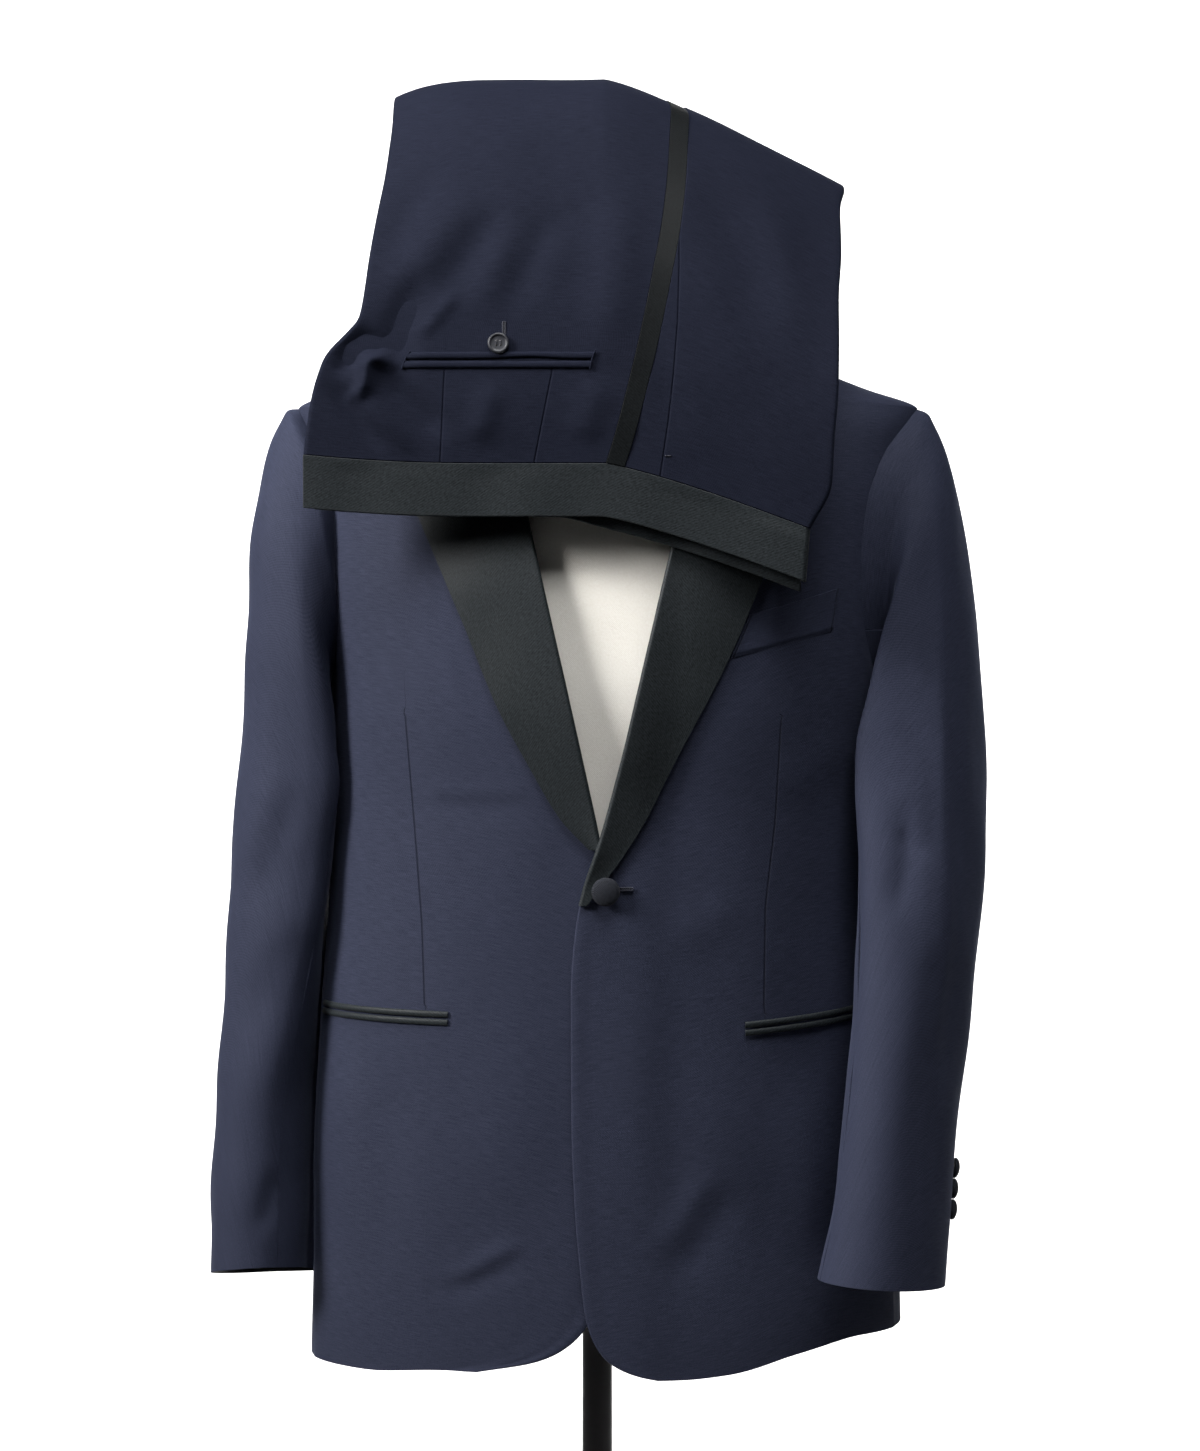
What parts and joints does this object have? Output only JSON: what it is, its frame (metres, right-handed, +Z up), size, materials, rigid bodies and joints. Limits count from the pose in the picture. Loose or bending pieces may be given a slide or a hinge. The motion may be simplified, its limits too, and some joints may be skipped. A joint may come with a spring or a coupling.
{
  "type": "tuxedo jacket and trousers on a dress form",
  "caption": "Peak-lapel dinner jacket worn by a limbless dress form on a round base, with its trousers folded and draped over the neck.",
  "frame": {"origin": "centre of the underside of the round base, on the floor under the pole", "axes": "+Z up along the pole, -Y towards the front of the jacket, +X towards the wearer's left"},
  "size_m": [0.5714, 0.38, 1.641],
  "materials": {
    "navy_wool": "fine matt worsted with a faint twill",
    "dark_satin": "dull satin",
    "covered_button": "tight cloth over a domed button",
    "trouser_button": "dull four-hole button",
    "form_cover": "smooth tight jersey cover",
    "black_metal": "satin black powder coat"
  },
  "bodies": {
    "root": {"jacket_front_left": "navy_wool", "jacket_front_right": "navy_wool", "jacket_side_left": "navy_wool", "jacket_side_right": "navy_wool", "jacket_back_left": "navy_wool", "jacket_back_right": "navy_wool", "sleeve_top_left": "navy_wool", "sleeve_under_left": "navy_wool", "sleeve_top_right": "navy_wool", "sleeve_under_right": "navy_wool", "lapel_left": "dark_satin", "lapel_right": "dark_satin", "collar": "dark_satin", "pocket_jet_upper_left": "dark_satin", "pocket_jet_lower_left": "dark_satin", "pocket_jet_upper_right": "dark_satin", "pocket_jet_lower_right": "dark_satin", "chest_welt": "navy_wool", "front_button": "covered_button", "cuff_button_left_1": "covered_button", "cuff_button_left_2": "covered_button", "cuff_button_left_3": "covered_button", "cuff_button_right_1": "covered_button", "cuff_button_right_2": "covered_button", "cuff_button_right_3": "covered_button", "trouser_back_panel": "navy_wool", "trouser_stripe": "dark_satin", "trouser_front_panel": "navy_wool", "trouser_folded_layers": "navy_wool", "waistband_near": "dark_satin", "waistband_far": "dark_satin", "back_pocket_lip_upper": "navy_wool", "back_pocket_lip_lower": "navy_wool", "back_pocket_button": "trouser_button", "form_torso": "form_cover", "form_neck": "form_cover", "form_neck_cap": "black_metal", "pole_collar": "black_metal", "pole": "black_metal", "base": "black_metal"}
  },
  "joints": []
}
